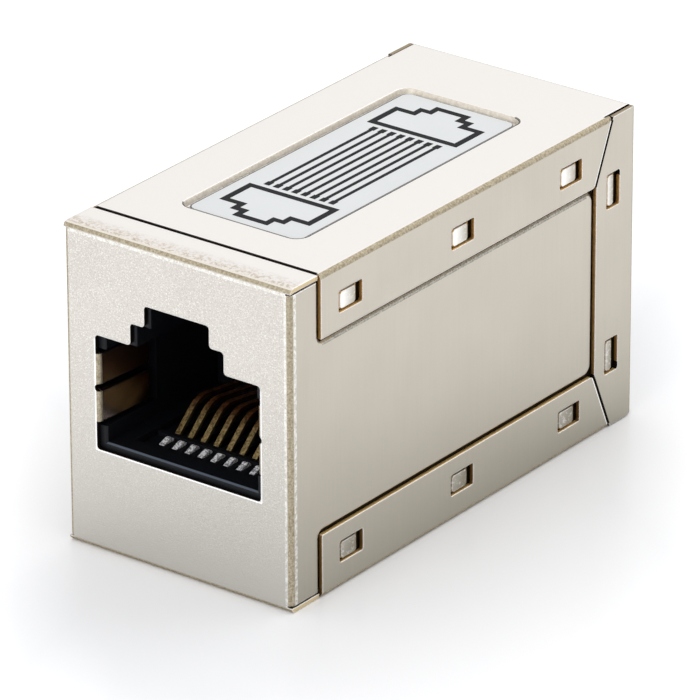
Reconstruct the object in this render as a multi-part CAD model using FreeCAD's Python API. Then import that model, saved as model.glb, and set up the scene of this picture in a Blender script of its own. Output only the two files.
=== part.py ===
"""Shielded RJ45 inline coupler: two 8-contact jacks back to back in a folded metal case.

Millimetres. +X is to the right seen from the front port, +Y runs from the front port to the
rear port and +Z is up. The origin is the centre of the case's footprint, on its underside.
Lengths along the case are first measured from the outside of the front face, and every piece
is moved to the origin when it is written. A jack is built once, facing the front, and turned
round for the rear.
"""
import FreeCAD
import Part
import math
import os

V = FreeCAD.Vector

# Case: folded sheet
BODY_WIDTH = 17.6            # front case, over its side panels
BODY_HEIGHT = 21.9
BODY_LENGTH = 36.4
SHEET = 0.3                  # thickness of both folded sheets
BEND_INSIDE = 0.05           # inside radius of every fold
FLANGE_DEPTH = 2.78          # front case's short top and bottom flanges
SEAM_GAP = 0.16              # between those flanges and the rear case
CORNER_GAP = 0.15            # side panels stay this far below the flanges
END_GAP = 0.15               # side panels stop short of the rear face
COVER_CLEARANCE = 0.05       # rear case's flanges over the side panels

# Joggle that lets the rear case's flanges sit into the side panels
JOGGLE_DEPTH = 0.2
JOGGLE_RUN = 0.2
JOGGLE_CORNER = 0.6
JOGGLE_FRONT_GAP = 0.12      # from the joggle to the front edge of a flange
JOGGLE_LONG_GAP = 0.18       # from the joggle to the long edge of a flange
JOGGLE_REAR_GAP = 0.17       # from the joggle to the rear flange

# Rear case's flanges
SIDE_FLANGE_HEIGHT = 4.3
REAR_FLANGE_DEPTH = 4.28
FLANGE_SLOPE = 0.44          # run for each millimetre of rise along the slanted seams
SLANT_GAP = 0.24
RELIEF_WIDTH = 0.13          # slit beside the rear corners of the top and bottom panels
RELIEF_LEAD = 0.4            # how far the slit runs past the slanted seam
REAR_FLANGE_INSET = 0.05
REAR_LOW_CORNER = 0.6
REAR_TOP_CORNER = 0.25
FLANGE_CORNER = 0.35

# Latch windows and the bosses that snap into them
WINDOW_LENGTH = 2.45
WINDOW_WIDTH = 1.5
WINDOW_CORNER = 0.13         # clipped corner
WINDOW_EDGE = 1.7            # from the case's edge to the near side of a window
SIDE_WINDOWS = 3
SIDE_WINDOW_PITCH = 11.67
SIDE_WINDOW_FIRST = 5.92     # from the front face to the first window's centre
REAR_WINDOW_SPREAD = 11.68   # between the two windows of a rear flange
REAR_WINDOW_SETBACK = 2.45   # from the rear face to their centres
BOSS_CLEARANCE = 0.07
BOSS_HEIGHT = 0.29
BOSS_RAMP = 0.62             # run of the gentle side, for a window along the case
BOSS_CROSS_RAMP = 0.6        # the same for a window across it
BOSS_FACE = 0.2
BOSS_FLANK = 0.13
BOSS_CORNER = 0.12           # clipped corner
POCKET_CORNER = 0.07         # the same for the pocket behind a boss

# Label recess pressed into the top panel, and the label
RECESS_LENGTH = 23.7
RECESS_WIDTH = 9.5
RECESS_FRONT = 6.3
RECESS_DEPTH = 0.4
RECESS_RUN = 0.14
RECESS_CORNER = 0.9
LABEL_MARGIN = 0.2
LABEL_THICKNESS = 0.15
LABEL_CORNER = 0.65

# Port in the sheet
PORT_HALF_WIDTH = 6.45
PORT_FLOOR = 6.99
PORT_HEIGHT = 7.85
STEP_HALF_WIDTH = 3.65
STEP_RISE = 1.51
NOTCH_HALF_WIDTH = 2.53
NOTCH_RISE = 1.47
PORT_CORNER = 0.25

# Grounding fingers folded in from the sides of the port
FINGER_BOTTOM = 8.85
FINGER_HEIGHT = 4.66         # both fingers of one side, with the slot between them
FINGER_SLOT = 0.52
FINGER_ROOT = 0.1            # fold line outside the port's own edge
FINGER_LENGTH = 4.45
FINGER_LEAN = 4.2            # degrees towards the plug

# Jack housing, moulded
HOUSING_CLEARANCE = 0.1
SEAT_GAP = 0.05
HOUSING_TOP_GAP = 0.1        # below the pressed recess
CAVITY_HALF_WIDTH = 5.9
CAVITY_FLOOR_RISE = 0.46     # cavity floor above the sheet's opening
CAVITY_INSET = 0.19          # cavity sides and ceilings inside the sheet's opening
CAVITY_DEPTH = 11.6
SHELF = 1.2                  # front wall that the plug's latch catches behind
MOUTH_CHAMFER = 0.1
FINGER_POCKET_SPAN = 0.3
FINGER_POCKET_DEPTH = 1.05
FINGER_POCKET_REACH = 0.6
CORE_WALL = 1.1
CORE_RIB = 1.2
CORE_BACK_WALL = 1.4
HOUSING_EDGE = 0.25

# Contacts and their holder
CONTACTS = 8
PITCH = 1.016
CONTACT_WIDTH = 0.37
CONTACT_THICKNESS = 0.25
HOLDER_HALF_WIDTH = 4.65
HOLDER_FRONT = 1.8
HOLDER_BOTTOM = 5.55
HOLDER_TOP = 7.05
HOLDER_BLOCK_TOP = 10.1
HOLDER_SETBACK = 0.95        # behind it, before the housing's rear face
HOLDER_CLEARANCE = 0.1
SLOT_WIDTH = 0.6
SLOT_FLOOR = 5.95
SLOT_START_GAP = 0.1
BAR_FRONT = 3.84
BAR_DEPTH = 0.36
BAR_BOTTOM = 6.98
BAR_TOP = 7.28

# Contact spring, centre line (distance from the front face, height)
TIP_FRONT = (2.78, 6.86)
TIP_CREST = (3.60, 7.16)
DIP = (4.06, 6.68)
CREST = (6.62, 8.93)
SPRING_REAR = (12.35, 8.10)
TIP_RADIUS = 0.2
DIP_RADIUS = 0.28
CREST_RADIUS = 1.9
JOG_LENGTH = 1.1
LOW_ROW = 7.1                # height of the odd contacts' tails
HIGH_ROW = 9.0               # height of the even contacts' tails
TAIL_PROUD = 0.5             # tail beyond the far side of the board

# Circuit board across the middle
BOARD_THICKNESS = 1.2
BOARD_EDGE_GAP = 0.2
BOARD_BOTTOM_GAP = 0.2
BOARD_HOLE = 0.6             # across the flats of an eight-sided hole

# Worked out from the values above
BEND_CENTRE = BEND_INSIDE + SHEET / 2
BEND_OUTSIDE = BEND_INSIDE + SHEET
SIDE_OUT = BODY_WIDTH / 2
COVER_PROUD = SHEET + COVER_CLEARANCE - JOGGLE_DEPTH
COVER_OUT = SIDE_OUT + COVER_PROUD
COVER_IN = COVER_OUT - SHEET
RECESSED_OUT = SIDE_OUT - JOGGLE_DEPTH
RECESSED_IN = RECESSED_OUT - SHEET
COVER_START = FLANGE_DEPTH + SEAM_GAP
REAR_FLANGE_START = BODY_LENGTH - REAR_FLANGE_DEPTH
SIDE_BOTTOM = SHEET + CORNER_GAP
SIDE_TOP = BODY_HEIGHT - SIDE_BOTTOM
STEP_TOP = PORT_FLOOR + PORT_HEIGHT + STEP_RISE
NOTCH_TOP = STEP_TOP + NOTCH_RISE
BOARD_FACE = (BODY_LENGTH - BOARD_THICKNESS) / 2
HOUSING_TOP = BODY_HEIGHT - SHEET - RECESS_DEPTH - HOUSING_TOP_GAP
HOUSING_FRONT = SHEET + SEAT_GAP
HOUSING_REAR = BOARD_FACE - SEAT_GAP
HOLDER_REAR = HOUSING_REAR - HOLDER_SETBACK
HOUSING_HALF_WIDTH = RECESSED_IN - HOUSING_CLEARANCE
CAVITY_FLOOR = PORT_FLOOR + CAVITY_FLOOR_RISE
OVER = 1.0                   # how far a cutting tool runs past what it cuts


def box(x0, x1, y0, y1, z0, z1):
    """Block between two corners."""
    return Part.makeBox(x1 - x0, y1 - y0, z1 - z0, V(x0, y0, z0))


def rounded_wire(points, radii):
    """Closed planar outline whose corner k has radius radii[k] (0 keeps it sharp)."""
    starts, ends, middles = [], [], []
    for k, point in enumerate(points):
        before = (points[k - 1] - point).normalize()
        after = (points[(k + 1) % len(points)] - point).normalize()
        half_angle = before.getAngle(after) / 2
        if radii[k] <= 0:
            starts.append(point)
            ends.append(point)
            middles.append(None)
            continue
        setback = radii[k] / math.tan(half_angle)
        bisector = (before + after).normalize()
        centre = point + bisector * (radii[k] / math.sin(half_angle))
        starts.append(point + before * setback)
        ends.append(point + after * setback)
        middles.append(centre - bisector * radii[k])
    edges = []
    for k in range(len(points)):
        if middles[k] is not None:
            edges.append(Part.Arc(starts[k], middles[k], ends[k]).toShape())
        following = starts[(k + 1) % len(points)]
        if ends[k].distanceToPoint(following) > 1e-6:
            edges.append(Part.makeLine(ends[k], following))
    return Part.Wire(edges)


def outline_yz(pairs, radii, x):
    """Outline in a plane across X from (y, z) pairs."""
    return rounded_wire([V(x, y, z) for y, z in pairs], radii)


def outline_xz(pairs, radii, y):
    """Outline in a plane across Y from (x, z) pairs."""
    return rounded_wire([V(x, y, z) for x, z in pairs], radii)


def outline_xy(pairs, radii, z):
    """Outline in a plane across Z from (x, y) pairs."""
    return rounded_wire([V(x, y, z) for x, y in pairs], radii)


def prism(wire, direction):
    """Solid swept from a closed outline."""
    return Part.Face(wire).extrude(direction)


def ruled(first, second):
    """Solid with straight sides between two like outlines."""
    return Part.makeLoft([first, second], True, True)


def flat_sided(base, top):
    """Solid with flat sides between two like outlines of corner points."""
    loops = [base, top]
    for k in range(len(base)):
        j = (k + 1) % len(base)
        loops.append([base[k], base[j], top[j], top[k]])
    faces = [Part.Face(Part.makePolygon(loop + loop[:1])) for loop in loops]
    solid = Part.makeSolid(Part.makeShell(faces))
    if solid.Volume < 0:
        solid.reverse()
    return solid


def clipped(a0, a1, b0, b1, clip):
    """Corners of a rectangle whose corners are cut off at 45 degrees, as pairs."""
    return [(a0 + clip, b0), (a1 - clip, b0), (a1, b0 + clip), (a1, b1 - clip),
            (a1 - clip, b1), (a0 + clip, b1), (a0, b1 - clip), (a0, b0 + clip)]


def rectangle(half_a, half_b, centre=(0.0, 0.0)):
    """Corners of a rectangle, anticlockwise."""
    a, b = centre
    return [(a - half_a, b - half_b), (a + half_a, b - half_b),
            (a + half_a, b + half_b), (a - half_a, b + half_b)]


def strip_outline(path, radii, thickness):
    """Outline pairs and radii of a strip of even thickness along a bent centre line."""
    sides = []
    for sign in (1, -1):
        pairs, corner_radii = [], []
        for k, (a, b) in enumerate(path):
            normals = []
            for i, j in ((k - 1, k), (k, k + 1)):
                if 0 <= i and j < len(path):
                    da, db = path[j][0] - path[i][0], path[j][1] - path[i][1]
                    length = math.hypot(da, db)
                    normals.append((-db / length, da / length))
            if len(normals) == 1:
                offset = normals[0]
                corner_radii.append(0.0)
            else:
                (na, nb), (ma, mb) = normals
                scale = 1.0 + na * ma + nb * mb
                offset = ((na + ma) / scale, (nb + mb) / scale)
                turns_to_side = (na * mb - nb * ma) * sign > 0
                side_shift = -thickness / 2 if turns_to_side else thickness / 2
                corner_radii.append(radii[k] + side_shift if radii[k] > 0 else 0.0)
            pairs.append((a + sign * offset[0] * thickness / 2, b + sign * offset[1] * thickness / 2))
        sides.append((pairs, corner_radii))
    (left, left_radii), (right, right_radii) = sides
    return left + right[::-1], left_radii + right_radii[::-1]


def mirrored_x(shape):
    """The same shape on the other side of the middle plane."""
    return shape.mirror(V(0, 0, 0), V(1, 0, 0))


def both_sides(shape):
    """A shape and its mirror image, as a list."""
    return [shape, mirrored_x(shape)]


def turned(shape):
    """A jack's shape moved from the front end to the rear end."""
    copy = shape.copy()
    copy.rotate(V(0, 0, 0), V(0, 0, 1), 180)
    copy.translate(V(0, BODY_LENGTH, 0))
    return copy


def stepped_pairs(half_width, floor, ceiling, half_step, step_top, half_notch, notch_top):
    """Port outline with the latch's two steps, as (x, z) pairs."""
    right = [(half_width, floor), (half_width, ceiling), (half_step, ceiling),
             (half_step, step_top), (half_notch, step_top), (half_notch, notch_top)]
    return right + [(-x, z) for x, z in right[::-1]]


def port_cutter():
    """Opening in a case face, with the root of the grounding fingers."""
    pairs = stepped_pairs(PORT_HALF_WIDTH, PORT_FLOOR, PORT_FLOOR + PORT_HEIGHT,
                          STEP_HALF_WIDTH, STEP_TOP, NOTCH_HALF_WIDTH, NOTCH_TOP)
    tool = prism(outline_xz(pairs, [PORT_CORNER] * len(pairs), -OVER), V(0, OVER + 2 * SHEET, 0))
    root = box(PORT_HALF_WIDTH - OVER, PORT_HALF_WIDTH + FINGER_ROOT, -OVER, 2 * SHEET,
               FINGER_BOTTOM, FINGER_BOTTOM + FINGER_HEIGHT)
    return tool.multiFuse(both_sides(root))


def grounding_fingers():
    """Four fingers folded in through the port: a slotted strip on each side."""
    lean = math.radians(FINGER_LEAN)
    fold_line = PORT_HALF_WIDTH + FINGER_ROOT
    bend_x = fold_line - BEND_OUTSIDE + SHEET / 2
    tip = (bend_x - FINGER_LENGTH * math.sin(lean), SHEET / 2 + FINGER_LENGTH * math.cos(lean))
    path = [(fold_line + SHEET, SHEET / 2), (bend_x, SHEET / 2), tip]
    pairs, radii = strip_outline(path, [0, BEND_CENTRE, 0], SHEET)
    strip = prism(outline_xy(pairs, radii, FINGER_BOTTOM), V(0, 0, FINGER_HEIGHT))
    middle, half_slot = FINGER_BOTTOM + FINGER_HEIGHT / 2, FINGER_SLOT / 2
    slot_end = fold_line - half_slot
    reach = FINGER_LENGTH + OVER
    slot = box(slot_end - OVER, slot_end, -OVER, reach, middle - half_slot, middle + half_slot)
    round_end = Part.makeCylinder(half_slot, reach + OVER, V(slot_end, -OVER, middle), V(0, 1, 0))
    return both_sides(strip.cut([slot, round_end]))


def raised_outline(grow, x):
    """Outline of the part of a side panel that isn't joggled in, grown outward by grow."""
    front = COVER_START - JOGGLE_FRONT_GAP - JOGGLE_RUN + grow
    low = SIDE_FLANGE_HEIGHT + JOGGLE_LONG_GAP + JOGGLE_RUN - grow
    rear = REAR_FLANGE_START - JOGGLE_REAR_GAP - JOGGLE_RUN + grow
    high = BODY_HEIGHT - low
    pairs = [(-OVER, -OVER), (front, -OVER), (front, low), (rear, low),
             (rear, high), (front, high), (front, BODY_HEIGHT + OVER), (-OVER, BODY_HEIGHT + OVER)]
    inner, outer = JOGGLE_CORNER - grow, JOGGLE_CORNER + grow
    return outline_yz(pairs, [0, 0, inner, outer, outer, inner, 0, 0], x)


def joggled_block(half_width, inset, front, corner, end):
    """Solid block whose sides step in by the joggle outside the raised outline."""
    pairs = [(-half_width, front), (half_width, front), (half_width, end), (-half_width, end)]
    rounded = prism(outline_xy(pairs, [corner, corner, 0, 0], SIDE_BOTTOM), V(0, 0, SIDE_TOP - SIDE_BOTTOM))
    low_level = half_width - JOGGLE_DEPTH
    slab = box(-low_level, low_level, -OVER, end, 0, BODY_HEIGHT)
    raised = ruled(raised_outline(-inset, half_width), raised_outline(JOGGLE_RUN - inset, low_level))
    return rounded.common(slab.multiFuse(both_sides(raised)))


def boss_loft(level, height, half_l, half_w, ramp, clip):
    """Frustum standing out along +X, with its gentle ramp towards the rear."""
    front, rear, side = -half_l + BOSS_FACE, half_l - ramp, half_w - BOSS_FLANK
    base = [V(level, y, z) for y, z in clipped(-half_l, half_l, -half_w, half_w, clip)]
    top = [V(level + height, y, z) for y, z in clipped(front, rear, -side, side, clip)]
    return flat_sided(base, top)


def window_places():
    """Centres (y, z) of one side's windows, and whether each lies along the case."""
    low = WINDOW_EDGE + WINDOW_WIDTH / 2
    places = []
    for k in range(SIDE_WINDOWS):
        y = SIDE_WINDOW_FIRST + k * SIDE_WINDOW_PITCH
        places += [(y, low, True), (y, BODY_HEIGHT - low, True)]
    for sign in (-1, 1):
        z = BODY_HEIGHT / 2 + sign * REAR_WINDOW_SPREAD / 2
        places.append((BODY_LENGTH - REAR_WINDOW_SETBACK, z, False))
    return places


def window_half_sizes(along):
    """Half the extent of a window along the case and up it."""
    halves = (WINDOW_LENGTH / 2, WINDOW_WIDTH / 2)
    return halves if along else halves[::-1]


def latch_bosses(level, height, clearance, clip):
    """Bosses of one side panel on the face at the given level, a clearance inside their windows."""
    bosses = []
    for y, z, along in window_places():
        half_l, half_w = window_half_sizes(along)
        ramp = BOSS_RAMP if along else BOSS_CROSS_RAMP
        boss = boss_loft(level, height, half_l - clearance, half_w - clearance, ramp, clip)
        boss.translate(V(0, y, z))
        bosses.append(boss)
    return bosses


def front_shell():
    """Folded sheet: front face, two long side panels, short top and bottom flanges."""
    side_end = BODY_LENGTH - SHEET - END_GAP
    inset = SHEET * math.tan(math.atan2(JOGGLE_DEPTH, JOGGLE_RUN) / 2)
    outside = joggled_block(SIDE_OUT, 0, 0, BEND_OUTSIDE, side_end)
    inside = joggled_block(SIDE_OUT - SHEET, inset, SHEET, BEND_INSIDE, side_end + OVER)
    panels = outside.cut(inside)

    path = [(FLANGE_DEPTH, BODY_HEIGHT - SHEET / 2), (SHEET / 2, BODY_HEIGHT - SHEET / 2),
            (SHEET / 2, SHEET / 2), (FLANGE_DEPTH, SHEET / 2)]
    pairs, radii = strip_outline(path, [0, BEND_CENTRE, BEND_CENTRE, 0], SHEET)
    flanges = prism(outline_yz(pairs, radii, -SIDE_OUT), V(BODY_WIDTH, 0, 0))
    corner = box(SIDE_OUT - BEND_OUTSIDE, SIDE_OUT + OVER, -OVER, FLANGE_DEPTH + OVER,
                 BEND_OUTSIDE - BEND_INSIDE / 2, BODY_HEIGHT - BEND_OUTSIDE + BEND_INSIDE / 2)
    flanges = flanges.cut(Part.makeCompound(both_sides(corner)))

    shell = panels.fuse(flanges)
    half_sheet = SHEET / 2
    inside_sheet = RECESSED_OUT - half_sheet
    for boss in latch_bosses(inside_sheet, BOSS_HEIGHT + half_sheet, BOSS_CLEARANCE, BOSS_CORNER):
        shell = shell.multiFuse(both_sides(boss))
    for pocket in latch_bosses(RECESSED_IN, BOSS_HEIGHT, BOSS_CLEARANCE + half_sheet, POCKET_CORNER):
        shell = shell.cut(both_sides(pocket))
    shell = shell.cut(port_cutter())
    return shell.multiFuse(grounding_fingers()).removeSplitter()


def seam_line(height_above, offset):
    """Distance along the case of the slanted seam, above the level where it starts."""
    return REAR_FLANGE_START + offset + FLANGE_SLOPE * height_above


def side_flange_ring():
    """Top and bottom panels with their side flanges, over the length of the flanges."""
    middle = BODY_HEIGHT / 2
    slant_start = BODY_HEIGHT - SIDE_FLANGE_HEIGHT
    reach = seam_line(SIDE_FLANGE_HEIGHT, -SLANT_GAP)
    outer = outline_xz(rectangle(COVER_OUT, middle, (0, middle)), [BEND_OUTSIDE] * 4, COVER_START)
    inner = outline_xz(rectangle(COVER_IN, middle - SHEET, (0, middle)), [BEND_INSIDE] * 4, COVER_START)
    run = V(0, reach - COVER_START, 0)
    ring = prism(outer, run).cut(prism(inner, run))
    front, rear = COVER_START - OVER, reach + OVER
    clear_from = seam_line(0, -SLANT_GAP)
    # between the flanges, and behind the slanted seams
    pairs = [(front, SIDE_FLANGE_HEIGHT), (clear_from, SIDE_FLANGE_HEIGHT), (reach, 0), (reach, -OVER),
             (rear, -OVER), (rear, BODY_HEIGHT + OVER), (reach, BODY_HEIGHT + OVER), (reach, BODY_HEIGHT),
             (clear_from, slant_start), (front, slant_start)]
    radii = [0, FLANGE_CORNER, 0, 0, 0, 0, 0, 0, FLANGE_CORNER, 0]
    side_cut = prism(outline_yz(pairs, radii, COVER_IN - BEND_INSIDE), V(OVER + SHEET, 0, 0))
    slit_start = seam_line(SIDE_FLANGE_HEIGHT, -SLANT_GAP) - RELIEF_LEAD
    ring = ring.cut(Part.makeCompound(both_sides(side_cut)))
    return ring.cut(Part.makeCompound(relief_slits(slit_start)))


def relief_slits(start):
    """Slits that part the top and bottom panels from the corners of the rear flanges."""
    slits = []
    depth = BEND_OUTSIDE + CORNER_GAP
    for low, high in ((-OVER, depth), (BODY_HEIGHT - depth, BODY_HEIGHT + OVER)):
        slits += both_sides(box(COVER_IN - RELIEF_WIDTH, COVER_IN, start, BODY_LENGTH + OVER, low, high))
    return slits


def rear_flanges():
    """Rear face with its two side flanges and their slanted front edges."""
    slant_start = BODY_HEIGHT - SIDE_FLANGE_HEIGHT + SLANT_GAP
    bottom, top = REAR_FLANGE_INSET, BODY_HEIGHT - REAR_FLANGE_INSET
    front, rear = REAR_FLANGE_START, BODY_LENGTH
    path = [(-COVER_OUT + SHEET / 2, front), (-COVER_OUT + SHEET / 2, rear - SHEET / 2),
            (COVER_OUT - SHEET / 2, rear - SHEET / 2), (COVER_OUT - SHEET / 2, front)]
    pairs, radii = strip_outline(path, [0, BEND_CENTRE, BEND_CENTRE, 0], SHEET)
    wrap = prism(outline_xy(pairs, radii, bottom), V(0, 0, top - bottom))
    run = seam_line(top - slant_start, 0)
    pairs = [(front, BODY_HEIGHT - slant_start), (run, bottom), (rear, bottom), (rear, top),
             (run, top), (front, slant_start)]
    radii = [0, 0, REAR_LOW_CORNER, REAR_TOP_CORNER, 0, 0]
    profile = prism(outline_yz(pairs, radii, -COVER_OUT - OVER), V(2 * (COVER_OUT + OVER), 0, 0))
    wrap = wrap.common(profile)
    tabs = []
    for low, high in ((-OVER, BEND_OUTSIDE), (BODY_HEIGHT - BEND_OUTSIDE, BODY_HEIGHT + OVER)):
        tabs.append(box(-COVER_IN, COVER_IN, rear - 2 * BEND_OUTSIDE, rear + OVER, low, high))
    return wrap.cut(Part.makeCompound(tabs))


def recess_outline(grow, z):
    """Outline of the label recess, grown outward by grow."""
    centre = (0, RECESS_FRONT + RECESS_LENGTH / 2)
    pairs = rectangle(RECESS_WIDTH / 2 + grow, RECESS_LENGTH / 2 + grow, centre)
    return outline_xy(pairs, [RECESS_CORNER + grow] * 4, z)


def rear_shell():
    """Folded sheet: top, rear and bottom panels with flanges over the side panels."""
    path = [(COVER_START, BODY_HEIGHT - SHEET / 2), (BODY_LENGTH - SHEET / 2, BODY_HEIGHT - SHEET / 2),
            (BODY_LENGTH - SHEET / 2, SHEET / 2), (COVER_START, SHEET / 2)]
    pairs, radii = strip_outline(path, [0, BEND_CENTRE, BEND_CENTRE, 0], SHEET)
    panel_half = COVER_IN - RELIEF_WIDTH
    wrap = prism(outline_yz(pairs, radii, -panel_half), V(2 * panel_half, 0, 0))
    shell = wrap.multiFuse([side_flange_ring(), rear_flanges()])

    windows = []
    for y, z, along in window_places():
        half_l, half_w = window_half_sizes(along)
        pairs = clipped(y - half_l, y + half_l, z - half_w, z + half_w, WINDOW_CORNER)
        outline = outline_yz(pairs, [0] * len(pairs), COVER_IN - COVER_CLEARANCE)
        windows += both_sides(prism(outline, V(OVER, 0, 0)))
    shell = shell.cut(Part.makeCompound(windows))

    # the pressed recess keeps the sheet's thickness below its floor and walls
    wall_shift = SHEET * math.tan(math.atan2(RECESS_DEPTH, RECESS_RUN) / 2)
    sheet_under = BODY_HEIGHT - SHEET
    bulge = ruled(recess_outline(wall_shift, sheet_under),
                  recess_outline(wall_shift - RECESS_RUN, sheet_under - RECESS_DEPTH))
    hollow = ruled(recess_outline(0, BODY_HEIGHT), recess_outline(-RECESS_RUN, BODY_HEIGHT - RECESS_DEPTH))
    shell = shell.fuse(bulge).cut(hollow)

    shell = shell.cut(turned(port_cutter()))
    return shell.multiFuse([turned(finger) for finger in grounding_fingers()]).removeSplitter()


def label():
    """Printed label lying in the recess."""
    floor = BODY_HEIGHT - RECESS_DEPTH
    centre = (0, RECESS_FRONT + RECESS_LENGTH / 2)
    shrink = RECESS_RUN + LABEL_MARGIN
    pairs = rectangle(RECESS_WIDTH / 2 - shrink, RECESS_LENGTH / 2 - shrink, centre)
    return prism(outline_xy(pairs, [LABEL_CORNER] * 4, floor), V(0, 0, LABEL_THICKNESS))


def cavity_pairs(grow):
    """Outline of the plug's way in through the housing's front wall, grown by grow."""
    inset = CAVITY_INSET - grow
    ceiling = PORT_FLOOR + PORT_HEIGHT - inset
    return stepped_pairs(CAVITY_HALF_WIDTH + grow, CAVITY_FLOOR - grow, ceiling,
                         STEP_HALF_WIDTH - inset, STEP_TOP - inset,
                         NOTCH_HALF_WIDTH - inset, NOTCH_TOP - inset)


def housing_cores():
    """Blind pockets that keep a moulding's walls even, opening at its rear."""
    front, rear = CAVITY_DEPTH + CORE_BACK_WALL, HOUSING_REAR + OVER
    half = HOUSING_HALF_WIDTH - CORE_WALL
    channel_bottom = HOLDER_BOTTOM - SEAT_GAP
    channel_top = HOLDER_BLOCK_TOP + HOLDER_CLEARANCE
    low, high = HOUSING_FRONT + CORE_WALL, channel_bottom - CORE_WALL
    cores = []
    for z0, z1, start in ((low, high, HOUSING_FRONT + CORE_BACK_WALL),
                          (channel_top + CORE_WALL, HOUSING_TOP - CORE_WALL, front)):
        cores += both_sides(box(CORE_RIB / 2, half, start, rear, z0, z1))
    return cores


def jack_housing():
    """Moulded jack: plug cavity with latch steps, finger pockets and holder channel."""
    body = box(-HOUSING_HALF_WIDTH, HOUSING_HALF_WIDTH, HOUSING_FRONT, HOUSING_REAR,
               SHEET + SEAT_GAP, HOUSING_TOP)
    near_front = HOUSING_FRONT + SHEET
    upright = [edge for edge in body.Edges
               if abs(edge.tangentAt(edge.FirstParameter).z) > 0.99 and edge.CenterOfMass.y < near_front]
    body = body.makeChamfer(HOUSING_EDGE, upright)
    pairs = cavity_pairs(0)
    corners = [0] * len(pairs)
    mouth = prism(outline_xz(pairs, corners, HOUSING_FRONT - OVER), V(0, OVER + SHELF + SHEET, 0))
    flare = ruled(outline_xz(cavity_pairs(MOUTH_CHAMFER), corners, HOUSING_FRONT),
                  outline_xz(pairs, corners, HOUSING_FRONT + MOUTH_CHAMFER))
    behind_shelf = HOUSING_FRONT + SHELF
    ceiling = PORT_FLOOR + PORT_HEIGHT - CAVITY_INSET
    plug_room = box(-CAVITY_HALF_WIDTH, CAVITY_HALF_WIDTH, behind_shelf, CAVITY_DEPTH, CAVITY_FLOOR, ceiling)
    latch_half = STEP_HALF_WIDTH - CAVITY_INSET
    latch_room = box(-latch_half, latch_half, behind_shelf, CAVITY_DEPTH,
                     ceiling - OVER, NOTCH_TOP - CAVITY_INSET)
    pocket = box(CAVITY_HALF_WIDTH - OVER, CAVITY_HALF_WIDTH + FINGER_POCKET_DEPTH,
                 HOUSING_FRONT - OVER, SHEET + FINGER_LENGTH + FINGER_POCKET_REACH,
                 FINGER_BOTTOM - FINGER_POCKET_SPAN, FINGER_BOTTOM + FINGER_HEIGHT + FINGER_POCKET_SPAN)
    half = HOLDER_HALF_WIDTH + HOLDER_CLEARANCE
    channel = box(-half, half, HOLDER_FRONT - HOLDER_CLEARANCE, HOUSING_REAR + OVER,
                  HOLDER_BOTTOM - SEAT_GAP, CAVITY_FLOOR + SEAT_GAP)
    block_room = box(-half, half, CAVITY_DEPTH - SEAT_GAP, HOUSING_REAR + OVER,
                     HOLDER_BOTTOM - SEAT_GAP, HOLDER_BLOCK_TOP + HOLDER_CLEARANCE)
    tools = [mouth, flare, plug_room, latch_room, channel, block_room] + both_sides(pocket) + housing_cores()
    return body.cut(tools).removeSplitter()


def contact_x(k):
    """Place of contact k, counted from 0 at the left seen from outside the port."""
    return (k - (CONTACTS - 1) / 2) * PITCH


def contact(k):
    """Spring contact: tip under the preload bar, arch for the plug, tail to the board."""
    row = LOW_ROW if k % 2 == 0 else HIGH_ROW
    tail_end = BOARD_FACE + BOARD_THICKNESS + TAIL_PROUD
    jog_end = (SPRING_REAR[0] + JOG_LENGTH, row)
    path = [TIP_FRONT, TIP_CREST, DIP, CREST, SPRING_REAR, jog_end, (tail_end, row)]
    bends = [0, TIP_RADIUS, DIP_RADIUS, CREST_RADIUS, 0, 0, 0]
    pairs, radii = strip_outline(path, bends, CONTACT_THICKNESS)
    left = contact_x(k) - CONTACT_WIDTH / 2
    return prism(outline_yz(pairs, radii, left), V(CONTACT_WIDTH, 0, 0))


def contact_holder(contacts):
    """Moulded comb under the springs, with the block that grips them behind the cavity."""
    half, bar_rear = HOLDER_HALF_WIDTH, BAR_FRONT + BAR_DEPTH
    comb = box(-half, half, HOLDER_FRONT, HOLDER_REAR, HOLDER_BOTTOM, HOLDER_TOP)
    block = box(-half, half, CAVITY_DEPTH, HOLDER_REAR, HOLDER_BOTTOM, HOLDER_BLOCK_TOP)
    bar = box(-half, half, BAR_FRONT, bar_rear, HOLDER_BOTTOM, BAR_TOP)
    holder = comb.multiFuse([block, bar])
    slots = []
    for k in range(CONTACTS):
        left, right = contact_x(k) - SLOT_WIDTH / 2, contact_x(k) + SLOT_WIDTH / 2
        start = TIP_FRONT[0] - SLOT_START_GAP
        slots.append(box(left, right, start, BAR_FRONT, SLOT_FLOOR, HOLDER_TOP + OVER))
        slots.append(box(left, right, start, CAVITY_DEPTH, SLOT_FLOOR, BAR_BOTTOM))
        slots.append(box(left, right, bar_rear, CAVITY_DEPTH, SLOT_FLOOR, HOLDER_TOP + OVER))
    holder = holder.cut(slots)
    return holder.cut(contacts).removeSplitter()


def circuit_board():
    """Board between the jacks, with a plated hole for each tail of both."""
    half = RECESSED_IN - BOARD_EDGE_GAP
    board = box(-half, half, BOARD_FACE, BOARD_FACE + BOARD_THICKNESS,
                SHEET + BOARD_BOTTOM_GAP, HOUSING_TOP)
    holes = []
    reach = BOARD_HOLE / 2
    clip = BOARD_HOLE * (1 - math.tan(math.radians(45 / 2))) / 2
    for k in range(CONTACTS):
        for row in (LOW_ROW, HIGH_ROW):
            x = contact_x(k)
            pairs = clipped(x - reach, x + reach, row - reach, row + reach, clip)
            outline = outline_xz(pairs, [0] * len(pairs), BOARD_FACE - OVER)
            holes.append(prism(outline, V(0, BOARD_THICKNESS + 2 * OVER, 0)))
    return board.cut(holes)


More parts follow.
